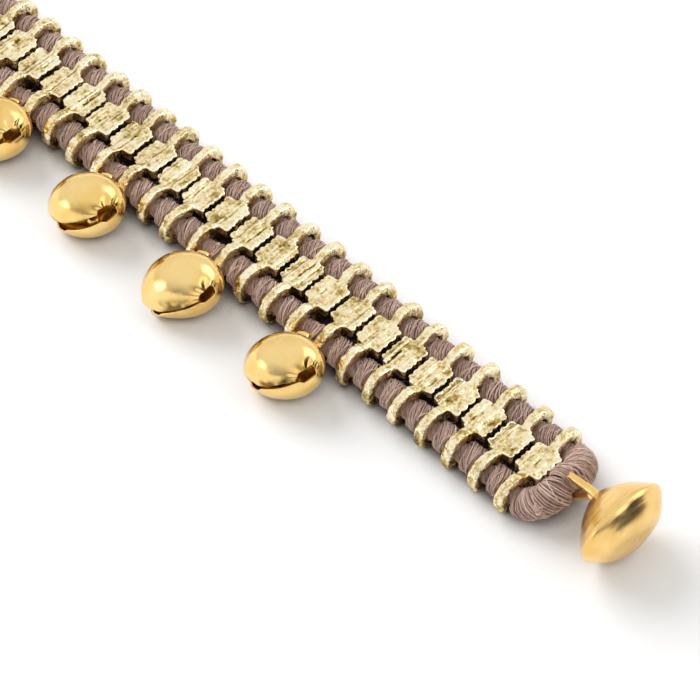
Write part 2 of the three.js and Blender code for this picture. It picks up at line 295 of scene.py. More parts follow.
def cottonThread():                          # each strand has its own tone
    material, wire = newFinish("cottonThread")
    tone = wire.attribute("tone")
    patches = wire.noise(threadLook["patches"], detail=3)
    fibres = wire.noise(threadLook["fibres"], detail=3, roughness=0.65)
    level = tone * 0.66 + patches * 0.26 + fibres * 0.42 - 0.18
    stops = [(0.10, threadLook["dark"]), (0.5, threadLook["mid"]), (0.92, threadLook["pale"])]
    colour = wire.node("ShaderNodeValToRGB", {"stops": stops}, {"Fac": level})
    relief = bumped(wire, fibres, 0.7, 0.1)
    values = {"Base Color": colour, "Roughness": 0.95, "Normal": relief, "Specular IOR Level": 0.1}
    closeFinish(wire, {**values, "Sheen Weight": 0.3, "Sheen Roughness": 0.6})
    return material


finishes = {"cast_brass": castBrass(), "gilt_brass": giltBrass()}
finishes.update({"satin_brass": satinBrass(), "cotton_thread": cottonThread()})
print("finishes made:", len(finishes))


# meshes
def loftFaces(rings, sides, loop=False):
    faces = []
    for i in range(rings if loop else rings - 1):
        here, ahead = i * sides, (i + 1) % rings * sides
        for k in range(sides):
            beside = (k + 1) % sides
            faces.append((here + k, ahead + k, ahead + beside, here + beside))
    if not loop:
        faces += [tuple(range(sides)), tuple(reversed(range((rings - 1) * sides, rings * sides)))]
    return faces


def routeFrames(route, loop=False):          # tangent and two square directions at each point of a route
    steps = np.roll(route, -1, 0) - np.roll(route, 1, 0) if loop else np.gradient(route, axis=0)
    tangents = steps / np.linalg.norm(steps, axis=1)[:, None]
    side = unit(np.cross(tangents[0], (0.23, 0.31, 1.0)))
    sides = np.empty_like(route)
    for i, tangent in enumerate(tangents):
        side = unit(side - tangent * (side @ tangent))
        sides[i] = side
    return tangents, sides, np.cross(tangents, sides)


def tube(route, radius, sides, loop=False):
    route = np.asarray(route, float)
    first, second = routeFrames(route, loop)[1:]
    radii = np.broadcast_to(radius, len(route))[:, None, None]
    around = swept(first[:, None], second[:, None], fullTurn(sides))
    return (route[:, None] + radii * around).reshape(-1, 3), loftFaces(len(route), sides, loop)


def gather(parts):                           # joins parts of points, faces and tones
    points = np.concatenate([part[0] for part in parts])
    tones = [np.broadcast_to(part[2] if len(part) > 2 else 0.5, len(part[0])) for part in parts]
    faces, start = [], 0
    for part in parts:
        faces += [tuple(start + corner for corner in face) for face in part[1]]
        start += len(part[0])
    return points, faces, np.concatenate(tones)


def readAlong(at, run, values):              # values known along a run, read at other distances
    return np.stack([np.interp(at, run, column) for column in values.T], 1)


def pointVectors(mesh, kind):                # co for places, normal for directions
    values = np.empty(len(mesh.vertices) * 3)
    mesh.vertices.foreach_get(kind, values)
    return values.reshape(-1, 3)


def hollowness(mesh):                        # 0 on a ridge, 0.5 on the flat, 1 in a hollow
    points, normals = pointVectors(mesh, "co"), pointVectors(mesh, "normal")
    ends = np.empty(len(mesh.edges) * 2, int)
    mesh.edges.foreach_get("vertices", ends)
    degree = np.bincount(ends, minlength=len(points))[:, None]
    ends = ends.reshape(-1, 2)

    def averaged(values):
        total = np.zeros_like(values)
        np.add.at(total, ends[:, 0], values[ends[:, 1]])
        np.add.at(total, ends[:, 1], values[ends[:, 0]])
        return total / np.maximum(degree, 1)

    smooth = averaged(averaged(points))
    bend = (((smooth - points) * normals).sum(1) / mm)[:, None]
    return np.clip(0.5 + 9 * averaged(bend)[:, 0], 0, 1)


def setPointValues(mesh, name, values):      # the finishes read them as attributes
    layer = mesh.attributes.new(name, "FLOAT", "POINT")
    layer.data.foreach_set("value", np.asarray(values, np.float32))


def makePiece(name, points, faces, slot, tones=None, hollow=False, weld=0.0):
    mesh = bpy.data.meshes.new(name)
    mesh.from_pydata((np.asarray(points) * mm).tolist(), [], faces)
    if tones is not None:
        setPointValues(mesh, "tone", tones)
    shaped = bmesh.new()
    shaped.from_mesh(mesh)
    if weld:
        bmesh.ops.remove_doubles(shaped, verts=shaped.verts, dist=weld * mm)
        bmesh.ops.dissolve_degenerate(shaped, dist=weld * mm, edges=shaped.edges)
    bmesh.ops.recalc_face_normals(shaped, faces=shaped.faces)
    shaped.to_mesh(mesh)
    shaped.free()
    mesh.polygons.foreach_set("use_smooth", [True] * len(mesh.polygons))
    if hollow:
        setPointValues(mesh, "hollow", hollowness(mesh))
    piece = bpy.data.objects.new(name, mesh)
    scene.collection.objects.link(piece)
    mesh.materials.append(finishes[slot])
    return piece


def fuse(points, faces, voxel, rounds):      # one skin round overlapping solids, softened like a casting
    mesh = bpy.data.meshes.new("fused")
    mesh.from_pydata(np.asarray(points).tolist(), [], faces)
    blank = bpy.data.objects.new("fused", mesh)
    scene.collection.objects.link(blank)
    skin = blank.modifiers.new("skin", "REMESH")
    skin.mode = "VOXEL"
    skin.voxel_size = voxel
    soften = blank.modifiers.new("soften", "SMOOTH")
    soften.factor = 0.5
    soften.iterations = rounds
    done = bpy.data.meshes.new_from_object(blank.evaluated_get(bpy.context.evaluated_depsgraph_get()))
    bpy.data.objects.remove(blank)
    points, normals = pointVectors(done, "co"), pointVectors(done, "normal")
    skinFaces = [tuple(face.vertices) for face in done.polygons]
    bpy.data.meshes.remove(done)
    return points, normals, skinFaces


def rumple(points, size, seed):              # smooth noise from -1 to 1 at each point, of about this size
    shift = np.array((seed * 7.31, seed * 3.17, seed * 5.93))
    return np.array([noise.noise(Vector(point)) for point in (np.asarray(points) / size + shift).tolist()])


# cast links
link = {
    "padHalf": 2.29, "padEnd": 2.34, "padThick": 1.62, "padDrop": 0.10, "teeth": (4, 6), "toothDepth": 0.50,
    "shoulderHalf": 1.36, "shoulderLong": 0.42, "strapWide": 1.46, "strapThick": 1.70,
    "hoopLift": 0.25, "ringMiddle": 2.2, "ringWide": 1.50, "ringThick": 1.60, "bellRoom": 0.42,
    "hoopSquare": 0.5, "strapSquare": 0.42, "hoopSteps": 44, "sectionSteps": 16,
    "voxel": 0.13, "soften": 2, "seed": 100, "lumps": ((0.12, 1.6), (0.11, 0.8), (0.05, 0.36)),
}


def padEdge(draw):                           # one long edge: round lobes with sharp notches between them
    lobes = draw.uniform(0.7, 1.3, draw.integers(*link["teeth"]))
    ends = np.concatenate([[0], np.cumsum(lobes)]) / lobes.sum()
    edge = []
    for first, last in zip(ends[:-1], ends[1:]):
        depth = link["toothDepth"] * draw.uniform(0.4, 1.2)
        reach = link["padHalf"] - draw.uniform(0, 0.10)
        for share in (0.02, 0.12, 0.3, 0.5, 0.7, 0.88, 0.98):
            y = link["padEnd"] * (2 * (first + (last - first) * share) - 1)
            edge.append((reach - depth * (1 - math.sin(math.pi * share) ** 0.5), y))
    half = link["shoulderHalf"] * draw.uniform(0.86, 1.18)
    end = link["padEnd"] + link["shoulderLong"] * draw.uniform(0.7, 1.2)
    return edge + [(half, link["padEnd"] + 0.04), (half * 0.92, end)]


def prism(outline, low, high):
    count = len(outline)
    points = [(x, y, low) for x, y in outline] + [(x, y, high) for x, y in outline]
    sides = [(i, (i + 1) % count, (i + 1) % count + count, i + count) for i in range(count)]
    return np.array(points), sides + [tuple(reversed(range(count))), tuple(range(count, 2 * count))]


def boxy(power):                             # a rounded square section: its two coordinates from -1 to 1
    angle = fullTurn(link["sectionSteps"])
    first, second = np.cos(angle), np.sin(angle)
    return np.sign(first) * np.abs(first) ** power, np.sign(second) * np.abs(second) ** power


def hoop(side, draw, room):                  # room: how much is left off its outside, beside a bell
    lap = fullTurn(link["hoopSteps"])
    across, out = boxy(link["hoopSquare"])
    across = across * link["ringWide"] / 2 * draw.uniform(0.9, 1.08)
    outside = room * smoothStep(-0.2, 0.6, np.cos(lap))[:, None]
    thick = (link["ringThick"] - outside) * draw.uniform(0.95, 1.05)
    reach = link["ringMiddle"] - outside / 2 + out[None] * thick / 2
    lean = draw.uniform(-0.07, 0.07)
    y = side * (cordSide + reach * np.cos(lap)[:, None])
    z = cordZ + link["hoopLift"] + reach * np.sin(lap)[:, None]
    x = across[None] + lean * (y - side * cordSide)
    return np.stack([x, y, z], 2).reshape(-1, 3), loftFaces(len(lap), len(out), loop=True)


def strap(side, top, draw):                  # a flat bar from the end of the pad to the top of the hoop
    lift = draw.uniform(-0.05, 0.12)
    crest = cordZ + link["hoopLift"] + link["ringMiddle"] + link["ringThick"] / 2
    heights = [(1.75, top - 0.05), (2.3, top + 0.02 + lift), (3.0, top + 0.28 + lift)]
    heights += [(3.8, crest - 0.12), (4.9, crest)]       # how far out, and how high
    across, up = boxy(link["strapSquare"])
    shift = draw.uniform(-0.16, 0.16)
    rings = []
    for share, (y, height) in zip(np.linspace(1, 0, len(heights)), heights):
        middle = height - link["strapThick"] / 2
        wide = link["strapWide"] / 2 * (1 + 0.08 * share * draw.uniform(-1, 1))
        x = across * wide + shift * share
        z = middle + up * link["strapThick"] / 2
        rings.append(np.stack([x, np.full(len(x), side * y), z], 1))
    return np.concatenate(rings), loftFaces(len(rings), len(across))


def padRelief(points, draw):                 # strips and creases that run across the band, from the wax
    wander = 0.13 * rumple(points, 1.3, draw.integers(1, 90))
    place = points[:, 0] + wander
    height = np.zeros(len(points))
    for _ in range(draw.integers(2, 5)):     # a strip that stands higher or lower than the rest
        height += draw.uniform(-0.25, 0.25) * smoothStep(-0.06, 0.06, place - draw.uniform(-1.6, 1.6))
    height -= height.mean()
    for _ in range(draw.integers(1, 5)):
        crease = np.exp(-((place - draw.uniform(-1.7, 1.7)) / draw.uniform(0.07, 0.15)) ** 2)
        length = draw.uniform(0.7, 2.3)
        fade = smoothStep(length, length - 0.5, np.abs(points[:, 1] - draw.uniform(-1.4, 1.4)))
        height += draw.uniform(-0.30, 0.14) * crease * fade
    return height


def makeLink(index):
    name = linkNames[index]
    draw = np.random.default_rng(link["seed"] + index)
    top = padTop - link["padDrop"] + draw.uniform(-0.06, 0.04)
    outline = padEdge(draw) + [(-x, -y) for x, y in padEdge(draw)]
    parts = [prism(outline, top - link["padThick"], top)]
    for side in (-1, 1):
        room = link["bellRoom"] if side < 0 and name in bellLinks else 0
        parts += [hoop(side, draw, room), strap(side, top, draw)]
    points, normals, faces = fuse(*gather(parts)[:2], link["voxel"], link["soften"])
    inside = smoothStep(3.0, 2.4, np.abs(points[:, 1]))
    onPad = smoothStep(0.4, 0.8, normals[:, 2]) * inside
    tip = draw.uniform(-0.05, 0.05) * points[:, 0]       # no pad lies level
    tip = tip + draw.uniform(-0.03, 0.03) * points[:, 1]
    lumps = sum(high * rumple(points, size, index + 40 * k) for k, (high, size) in enumerate(link["lumps"]))
    lumps -= 0.06 * inside * (1 - onPad)     # the pad's flanks draw in a little
    points = points + normals * (lumps + onPad * padRelief(points, draw))[:, None]
    points[:, 2] += tip * inside
    points[:, 2] = np.maximum(points[:, 2], 0.0)         # it rests on the table
    points += (linkX[index], bandY, 0)
    piece = makePiece(f"{name}_cast", points, faces, "cast_brass", hollow=True)
    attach(piece, name)
    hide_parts(name)


for index in range(len(linkNames)):
    makeLink(index)
print("links cast:", len(linkNames))


# wrapped cords
cord = {
    "full": 2.04, "waist": 1.32, "tied": 1.46, "grip": 0.84, "swell": 0.75, "inward": 0.22,
    "strands": 21, "lean": 25, "thread": 0.135, "step": 0.17, "twist": 0.85, "sides": 5,
    "strays": 12, "fuzz": 150, "fuzzRadius": 0.012, "inRing": 0.25, "offTable": 0.05, "ply": 0.62,
    "wanderEvery": 0.55, "spacing": 0.16, "angleWander": 0.035, "radiusWander": 0.05, "toneWander": 0.13,
    "plyWander": 0.14, "coreInset": 0.3, "coreTone": 0.12, "seed": 1000,
}


def distanceAlong(route):
    return np.concatenate([[0], np.cumsum(np.linalg.norm(np.diff(route, axis=0), axis=1))])


def layStrands(route, radiusAt, draw, kind, cover):      # slanting, each of two plies
    strands, lean, thread = kind["strands"], math.radians(kind["lean"]), kind["thread"]
    run = distanceAlong(route)
    at = np.linspace(0, run[-1], int(run[-1] / cord["step"]) + 2)
    middle = readAlong(at, run, route)
    along, across, up = (readAlong(at, run, values) for values in routeFrames(route))
    knots = np.linspace(0, run[-1], int(run[-1] / cord["wanderEvery"]) + 2)

    def wander(size):
        return np.stack([np.interp(at, knots, draw.normal(0, size, len(knots))) for _ in range(strands)])

    rate = 1 / (np.maximum(radiusAt(at), 1.0) * math.tan(lean))
    winding = np.concatenate([[0], np.cumsum((rate[1:] + rate[:-1]) / 2 * np.diff(at))])
    start = (np.arange(strands) + draw.normal(0, cord["spacing"], strands)) * 2 * math.pi / strands
    angle = start[:, None] + winding[None] + wander(cord["angleWander"])
    radius = radiusAt(at)[None] - thread + wander(cord["radiusWander"])
    if cover:
        radius = radius + cover(at, swept(across, up, angle))
    tone = draw.normal(0.5, cord["toneWander"], strands)[:, None] + wander(cord["toneWander"])
    size = thread * cord["ply"] * (1 + wander(cord["plyWander"]))
    twist = draw.uniform(0, 6, strands)[:, None] + 2 * math.pi * at[None] / cord["twist"]
    turn = fullTurn(cord["sides"])
    faces = loftFaces(len(at), cord["sides"])
    parts = []
    for ply in (0, math.pi):
        plyAngle = angle + 0.5 * thread * np.cos(twist + ply) / radius
        plyRadius = radius + 0.5 * thread * np.sin(twist + ply)
        radial = swept(across, up, plyAngle)
        centre = middle + radial * plyRadius[..., None]
        wide = along[:, None] * np.sin(turn)[:, None] / math.cos(lean)
        ring = radial[:, :, None] * np.cos(turn)[:, None] + wide
        points = centre[:, :, None] + size[..., None, None] * ring
        for strand in range(strands):
            tones = np.repeat(tone[strand], cord["sides"])
            parts.append((points[strand].reshape(-1, 3), faces, tones))
    return parts


def coreOf(route, radiusAt, inset):          # the cord inside the winding, dark as painted shade in the gaps between strands
    points, faces = tube(route, radiusAt(distanceAlong(route)) - inset, sides=14)
    return points, faces, cord["coreTone"]


def straysOn(route, radiusAt, draw, count):  # strands that lie loosely over the others
    first, second = routeFrames(route)[1:]
    run = distanceAlong(route)
    steps = 16
    parts = []
    for _ in range(count):
        angle = draw.uniform(0, 2 * math.pi) + np.linspace(0, draw.uniform(1.2, 3.0), steps)
        at = draw.uniform(0.15, 0.85) * run[-1] + np.linspace(-1, 1, steps) * draw.normal(0.5, 0.6)
        at = np.clip(at, 0.05 * run[-1], 0.95 * run[-1])
        radial = swept(readAlong(at, run, first), readAlong(at, run, second), angle)
        lift = cord["thread"] * 0.6 * np.sin(np.linspace(0, math.pi, steps)) ** 0.5
        strand = readAlong(at, run, route) + radial * (radiusAt(at) - 0.04 + lift)[:, None]
        points, faces = tube(strand, cord["thread"] * draw.uniform(0.35, 0.7), sides=5)
        parts.append((points, faces, draw.uniform(0.4, 0.95)))
    return parts


def fuzzOn(route, radiusAt, draw, count):    # loose fibre ends that stand off the winding
    tangents, first, second = routeFrames(route)
    run = distanceAlong(route)
    steps = 6
    share = np.linspace(0, 1, steps)[:, None]
    parts = []
    for _ in range(count):
        at = draw.uniform(0.05, 0.95) * run[-1]
        pick = min(int(np.searchsorted(run, at)), len(route) - 1)
        angle = draw.uniform(0, 2 * math.pi)
        radial = first[pick] * math.cos(angle) + second[pick] * math.sin(angle)
        roundWay = second[pick] * math.cos(angle) - first[pick] * math.sin(angle)
        start = route[pick] + radial * (radiusAt(np.array([at]))[0] - 0.03)
        sideways = roundWay * draw.choice([-1, 1]) + tangents[pick] * draw.normal(0, 0.6)
        heading = unit(radial * draw.uniform(0.2, 0.9) + sideways)
        curl = radial * draw.normal(-0.3, 0.6) + tangents[pick] * draw.normal(0, 0.7)
        reach = draw.uniform(0.25, 0.85)
        strand = start + heading * share * reach + curl * (share * reach) ** 2
        points, faces = tube(strand, cord["fuzzRadius"] * np.linspace(1.2, 0.5, steps), sides=3)
        parts.append((points, faces, draw.uniform(0.5, 0.95)))
    return parts


def windThread(route, radiusAt, draw, kind, cover=None):
    parts = [coreOf(route, radiusAt, kind["coreInset"])] + layStrands(route, radiusAt, draw, kind, cover)
    parts += straysOn(route, radiusAt, draw, kind["strays"])
    return parts + fuzzOn(route, radiusAt, draw, kind["fuzz"])


def threadPiece(name, parts, low=-math.inf):             # no thread goes below low
    points, faces, tones = gather(parts)
    points[:, 2] = np.maximum(points[:, 2], low)
    return makePiece(name, points, faces, "cotton_thread", tones)


def makeCordStretch(name, gap):              # one stretch between two links
    draw = np.random.default_rng(cord["seed"] + 2 * gap + (name == "far_cord"))
    start, end = linkX[gap], linkX[gap + 1]
    tied = name == "near_cord" and gap in tiedGaps
    full = cord["tied"] if tied else cord["full"] * draw.uniform(0.965, 1.02)
    waist = min(cord["waist"], full)

    def bulge(fromRing):
        return smoothStep(cord["grip"], cord["grip"] + cord["swell"], fromRing)

    def radiusAt(run):
        length = start - end - 2 * cord["inRing"]
        return waist + (full - waist) * bulge(np.minimum(run, length - run) + cord["inRing"])

    x = np.linspace(start - cord["inRing"], end + cord["inRing"], 25)
    way = -1 if name == "far_cord" else 0 if tied else 1  # they bulge towards the pads
    y = cordY[name] + way * cord["inward"] * bulge(np.minimum(start - x, x - end))
    route = np.stack([x, y, np.full(len(x), cordZ)], 1)
    parts = windThread(route, radiusAt, draw, cord)
    piece = threadPiece(f"{name}_stretch_{gap + 1:02d}", parts, cord["offTable"])
    ends = [(x * mm, cordY[name] * mm, cordZ * mm) for x in (start, end)]
    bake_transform(piece)
    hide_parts(name)


for name in cordY:
    for gap in range(len(linkNames) - 1):
        makeCordStretch(name, gap)
print("cords wound:", 2 * (len(linkNames) - 1), "stretches")


# whipped turn at the button end, and the loop at the other end
whip = {
    "turn": 2.18, "turnWaist": 1.36, "loop": 1.48, "strands": 12, "lean": 16, "thread": 0.185,
    "straight": 0.4, "coreInset": 0.4, "strays": 30, "fuzz": 460,
    "shankHalf": 0.62, "shankFade": 0.45, "overWire": 2.72, "overSpan": (1.5, 0.7), "overSide": (0.42, 0.1),
    "knotAt": -52, "knotOut": 1.5, "knotLift": 0.7, "knotSize": 0.6, "knotLoops": 9,
    "turnSeed": 31, "loopSeed": 32,
}
pivot = jointPoint("button_tilt")


def turnRoute(startX, arcX, depth, rise):    # along one cord, half an oval round, and back along the other
    way = 1 if arcX > startX else -1
    lead = [(x, -cordSide, 0) for x in np.linspace(startX, arcX, 12, endpoint=False)]
    lap = np.linspace(-math.pi / 2, math.pi / 2, 61)
    bend = [(arcX + way * depth * math.cos(a), cordSide * math.sin(a), rise * math.cos(a) ** 2)
            for a in lap]
    back = [(x, -y, z) for x, y, z in reversed(lead)]
    return np.array(lead + bend + back) + (0, bandY, cordZ)


def whippedParts(route, full, waist, draw, over=0.0):   # waist: the cord where the button's wire grips it
    length = distanceAlong(route)[-1]

    def radiusAt(run):
        atEnds = np.minimum(run, length - run)
        swollen = smoothStep(cord["grip"], cord["grip"] + cord["swell"], atEnds)
        fromWire = np.abs(run - length / 2) - whip["shankHalf"]
        middle = smoothStep(0, whip["shankFade"], fromWire)
        size = cord["waist"] + (full - cord["waist"]) * swollen
        return np.where(atEnds > length / 4, waist + (full - waist) * middle, size)

    def cover(at, radial):                   # strands that pass over the wire on the side of the links
        near = smoothStep(*whip["overSpan"], np.abs(at - length / 2))
        facing = smoothStep(*whip["overSide"], radial[..., 0])
        return near * facing * np.maximum(over - radiusAt(at), 0)

    return windThread(route, radiusAt, draw, whip, cover)


def knotParts(centre, size, draw, loops):    # a tangle of thread
    lap = fullTurn(22)
    parts = []
    for _ in range(loops):
        first = unit(draw.normal(0, 1, 3))
        second = unit(np.cross(first, draw.normal(0, 1, 3)))
        wave = 1 + 0.25 * np.sin(2 * lap + draw.uniform(0, 6))
        strand = centre + size * wave[:, None] * swept(first, second, lap) + draw.normal(0, 0.12, 3)
        points, faces = tube(strand, whip["thread"] * 0.7, sides=6, loop=True)
        parts.append((points, faces, draw.uniform(0.3, 0.7)))
    return parts


def makeTurn():
    draw = np.random.default_rng(whip["turnSeed"])
    arcX = nodeCorners("button_end_turn")[0][0] + whip["straight"]
    depth = pivot[0] - arcX
    rise = pivot[2] - cordZ
    route = turnRoute(linkX[0], arcX, depth, rise)
    parts = whippedParts(route, whip["turn"], whip["turnWaist"], draw, whip["overWire"])
    knotAt = math.radians(whip["knotAt"])    # round the turn, on the outer side towards the bells
    x = arcX + (depth + whip["knotOut"]) * math.cos(knotAt)
    y = bandY + (cordSide + whip["knotOut"]) * math.sin(knotAt)
    z = cordZ + rise * math.cos(knotAt) ** 2 + whip["knotLift"]
    parts += knotParts(np.array((x, y, z)), whip["knotSize"], draw, whip["knotLoops"])
    piece = threadPiece("whipped_turn", parts)
    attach(piece, linkNames[0])
    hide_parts("button_end_turn")


def makeLoop():
    low, high = nodeCorners("button_loop")
    arcX = low[0] + high[2] - cordZ + cordSide
    route = turnRoute(linkX[-1], arcX, cordSide, 0.0)
    draw = np.random.default_rng(whip["loopSeed"])
    parts = whippedParts(route, whip["loop"], whip["loop"], draw)
    piece = threadPiece("whipped_loop", parts)
    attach(piece, linkNames[-1])
    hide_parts("button_loop")


makeTurn()
makeLoop()
print("turn and loop whipped")


# bells
bell = {
    "halfLength": 5.75, "halfWidth": 4.6, "dome": 4.5, "mouth": 3.9, "wall": 0.35, "across": 120, "around": 132,
    "slitHalf": 0.33, "slitEnd": 74, "slitRoll": -30, "holeHalf": 0.58, "holeAt": 56, "holeSpan": 14,
    "leftHole": 1.3, "leftFrom": -20, "leftFull": -42, "lip": 1.3, "upperLip": 0.85, "burr": 0.10,
    "pleat": 0.11, "pleats": 8, "pleatReach": 1.7, "pleatSpread": 0.9, "raggedUpper": 0.05, "raggedLower": 0.12,
    "beakAngle": 34, "beakReach": 3.4, "crowding": 0.66, "dents": ((0.07, 3.4, 0), (0.022, 1.2, 5)),
    # where along the slit the painted dark reflection fades in and out
    "paintedReflectionFrom": (-24, -14), "paintedReflectionTo": (34, 16),
}
bellPress = {                                # how each bell came out of the press, and how far its painted dark reflection reaches from the slit
    1: {"drop": 4, "gape": -0.04, "beak": 0.3, "beakAt": -56, "paintedReflection": 1.0},
    2: {"drop": 17, "gape": -0.1, "beak": 1.5, "beakAt": -46, "paintedReflection": 1.6},
    3: {"drop": 8, "gape": 0.40, "beak": 0.35, "beakAt": -54, "paintedReflection": 0.8},
    4: {"drop": 3, "gape": 0.08, "beak": 0.7, "beakAt": -48, "paintedReflection": 1.2},
    5: {"drop": 6, "gape": 0.02, "beak": 0.5, "beakAt": -50, "paintedReflection": 1.0},
}


def slitWidth(u, number):                    # half the slit's width at an angle along it, in mm
    turned = np.degrees(u)
    middle = bell["slitHalf"] + bellPress[number]["gape"] * np.cos(u)
    left = bell["leftHole"] * smoothStep(bell["leftFrom"], bell["leftFull"], turned)
    fromHole = (turned - bell["holeAt"]) / bell["holeSpan"]
    right = smoothStep(-1.4, -0.9, fromHole) * smoothStep(1.25, 0.75, fromHole)
    wide = middle + bell["holeHalf"] * np.maximum(left, right)
    return wide * smoothStep(bell["slitEnd"], bell["slitEnd"] - 4, np.abs(turned))


def pleatsOn(points, drop, number):          # folds that fan out from the slit's round hole
    hole = math.radians(bell["holeAt"])
    corner = np.array((bell["halfLength"] * math.sin(hole), 0, 0))
    corner[1] = bell["halfWidth"] * math.cos(hole) * math.sin(drop)
    corner[2] = -bell["mouth"] * math.cos(hole) * math.cos(drop)
    away = points - corner
    fan = np.arctan2(-away[..., 1], -away[..., 0])
    reach = np.linalg.norm(away, axis=2)
    ring = np.exp(-((reach - bell["pleatReach"]) / bell["pleatSpread"]) ** 2)
    folds = np.cos(bell["pleats"] * fan + number) * ring
    return folds * smoothStep(0.0, 0.5, fan) * smoothStep(2.6, 2.0, fan)


def bellSkin(number, inset):                 # rows along the slit, and in each row points from lip to lip
    press = bellPress[number]
    drop = math.radians(press["drop"])
    u = np.radians(np.linspace(-90, 90, bell["across"] + 1))
    share = np.linspace(0, 1, bell["around"] + 1)
    share = share - bell["crowding"] * np.sin(2 * math.pi * share) / (2 * math.pi)    # closer at the lips
    half = slitWidth(u, number)
    around = bell["halfWidth"] * np.cos(u)
    gap = half / np.maximum(around, 0.3)
    v = gap[:, None] + (2 * math.pi - 2 * gap[:, None]) * share[None]
    fromSlit = np.minimum(v, 2 * math.pi - v) * around[:, None]
    upper = np.sin(v) < 0
    w = v + drop
    height = np.where(np.cos(w) > 0, bell["mouth"], bell["dome"])
    ring = np.cos(u)[:, None]
    x = np.broadcast_to(bell["halfLength"] * np.sin(u)[:, None], v.shape)
    points = np.stack([x, bell["halfWidth"] * ring * np.sin(w), -height * ring * np.cos(w)], 2)
    directions = points / np.linalg.norm(points, axis=2)[..., None]

    def uneven(size, seed):
        return rumple(points.reshape(-1, 3), size, seed).reshape(v.shape)

    turned = np.degrees(u)[:, None]
    slitNear = smoothStep(bell["slitEnd"] + 6, bell["slitEnd"] - 20, np.abs(turned))
    flare = np.maximum(bell["lip"] - fromSlit, 0) ** 2 / (2 * bell["halfWidth"]) * slitNear
    flare = np.where(upper, bell["upperLip"] * flare, flare)                 # the lips run straight on
    pleats = pleatsOn(points, drop, number) * upper
    ragged = uneven(0.5, number + 11) * np.exp(-(fromSlit / 0.3) ** 2)
    ragged = np.where(upper, bell["raggedUpper"], bell["raggedLower"]) * ragged
    dents = sum(high * uneven(size, number + seed) for high, size, seed in bell["dents"])
    burr = bell["burr"] * np.exp(-(fromSlit / 0.15) ** 2) * slitNear
    fromBeak = np.hypot((turned - press["beakAt"]) / bell["beakAngle"], fromSlit / bell["beakReach"])
    beak = press["beak"] * np.exp(-1.6 * fromBeak ** 1.3)                    # pinched at the end of the slit
    offset = dents + flare + beak + bell["pleat"] * pleats + ragged + burr - inset
    # a painted dark reflection on the upper lip, along the middle of the slit
    paintedReflection = np.exp(-(fromSlit / press["paintedReflection"]) ** 4) * upper * (1.0 + 1.2 * uneven(0.7, number + 17))
    paintedReflection = paintedReflection * smoothStep(*bell["paintedReflectionFrom"], turned) * smoothStep(*bell["paintedReflectionTo"], turned)
    return points + directions * offset[..., None], half, np.clip(paintedReflection, 0, 1)


def makeShell(number, centre, axes):
    outer, half, paintedReflection = bellSkin(number, 0.0)
    inner = bellSkin(number, bell["wall"])[0]
    rows, columns = outer.shape[:2]
    count = rows * columns
    spots = np.arange(count).reshape(rows, columns).tolist()
    faces = []
    for i in range(rows - 1):
        for k in range(columns - 1):
            quad = (spots[i][k], spots[i + 1][k], spots[i + 1][k + 1], spots[i][k + 1])
            faces += [quad, tuple(count + corner for corner in reversed(quad))]
        if half[i] > 0 or half[i + 1] > 0:   # the slit's edges join the outside to the inside
            for k in (0, columns - 1):
                start, end = spots[i][k], spots[i + 1][k]
                faces.append((start, end, count + end, count + start))
    points = np.concatenate([outer.reshape(-1, 3), inner.reshape(-1, 3)]) @ axes + centre
    # the outside's tone carries the painted dark reflection
    tones = np.concatenate([paintedReflection.ravel(), np.zeros(count)])
    piece = makePiece(f"bell_{number}_gilt_shell", points, faces, "gilt_brass", tones, weld=0.004)
    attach(piece, f"bell_{number}")
    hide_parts(f"bell_{number}_shell")


eye = {
    "loopRadius": 0.76, "tipWide": 1.9, "footWide": 2.6, "wireThick": 0.36, "legSpread": 0.55, "sunk": 0.2,
    "bowFrom": -55, "bowTo": 235,
    "boss": ((0.01, 0.16), (0.6, 0.15), (1.0, 0.08), (1.35, -0.12), (1.1, -0.35), (0.01, -0.4)),
}


def makeEye(number, centre, along, toEye):   # a strap bent to a loop, on a low boss
    side = np.cross(toEye, along)
    foot = centre + toEye * (bell["dome"] - 0.05)
    peak = jointPoint(f"bell_{number}_swing")
    rise = (peak - foot) @ toEye
    lap = np.linspace(math.radians(eye["bowFrom"]), math.radians(eye["bowTo"]), 30)
    bow = [peak + eye["loopRadius"] * (side * math.cos(a) + toEye * math.sin(a)) for a in lap]
    right, left = (foot + side * s * eye["legSpread"] for s in (1, -1))
    path = [right - toEye * eye["sunk"], right + toEye * 0.1 * rise] + bow
    path = np.array(path + [left + toEye * 0.1 * rise, left - toEye * eye["sunk"]])
    sides = 12
    points, faces = tube(path, 0.5, sides)
    middle = np.repeat(path, sides, 0)
    spread = points - middle
    flat = (spread @ along)[:, None] * along
    wide = np.interp((path - foot) @ toEye, (0, rise), (eye["footWide"], eye["tipWide"]))
    points = middle + flat * np.repeat(wide, sides)[:, None] + (spread - flat) * 2 * eye["wireThick"]
    turns = fullTurn(28)
    rings = []
    for radius, height in eye["boss"]:
        rings += [foot + radius * (along * math.cos(a) + side * math.sin(a)) + toEye * height for a in turns]
    boss = (np.array(rings), loftFaces(len(eye["boss"]), len(turns)))
    points, faces = gather([(points, faces), boss])[:2]
    piece = makePiece(f"bell_{number}_strap_eye", points, faces, "gilt_brass")
    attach(piece, f"bell_{number}")
    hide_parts(f"bell_{number}_eye")


pellet = {"radius": 1.27, "dents": 0.05, "pits": 0.02}


def makePellet(number):
    ball = bmesh.new()
    bmesh.ops.create_icosphere(ball, subdivisions=4, radius=pellet["radius"])
    points = np.array([vertex.co for vertex in ball.verts])
    faces = [tuple(vertex.index for vertex in face.verts) for face in ball.faces]
    ball.free()
    dents = pellet["dents"] * rumple(points, 0.9, number + 20)
    dents += pellet["pits"] * rumple(points, 0.3, number + 30)
    points = points * (1 + dents)[:, None] + nodeMiddle(f"bell_{number}_pellet")
    piece = makePiece(f"bell_{number}_rattle", points, faces, "satin_brass", hollow=True)
    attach(piece, f"bell_{number}_pellet")
    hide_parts(f"bell_{number}_pellet")


